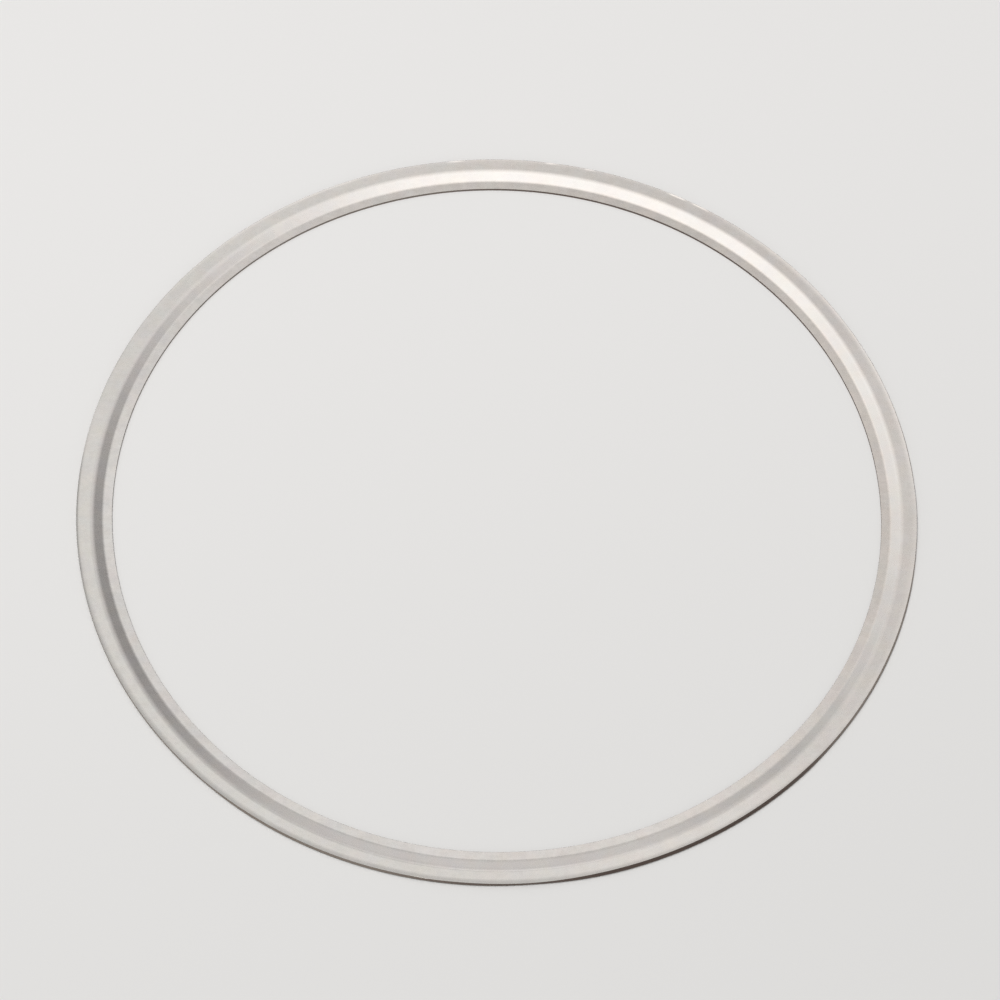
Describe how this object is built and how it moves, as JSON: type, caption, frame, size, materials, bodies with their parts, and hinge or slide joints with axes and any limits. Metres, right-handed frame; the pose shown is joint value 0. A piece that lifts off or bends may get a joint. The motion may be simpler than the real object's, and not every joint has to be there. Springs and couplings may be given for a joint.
{
  "type": "half-bead sheet metal ring gasket",
  "caption": "Thin stamped stainless steel ring with a shallow half-bead step, clamped between the faces of a round pipe or exhaust flange joint to seal it.",
  "frame": {"origin": "on the ring's axis, in the plane of the inner flange's lower face, which the ring rests on", "axes": "+Z along the ring's axis, from the inner flange towards the raised outer flange; X and Y lie in the plane of the ring"},
  "size_m": [0.12, 0.12, 0.0008],
  "materials": {
    "stainless_sheet": "fine satin rolled stainless sheet, stamped and deburred"
  },
  "bodies": {
    "root": {"gasket_ring": "stainless_sheet"}
  },
  "joints": []
}
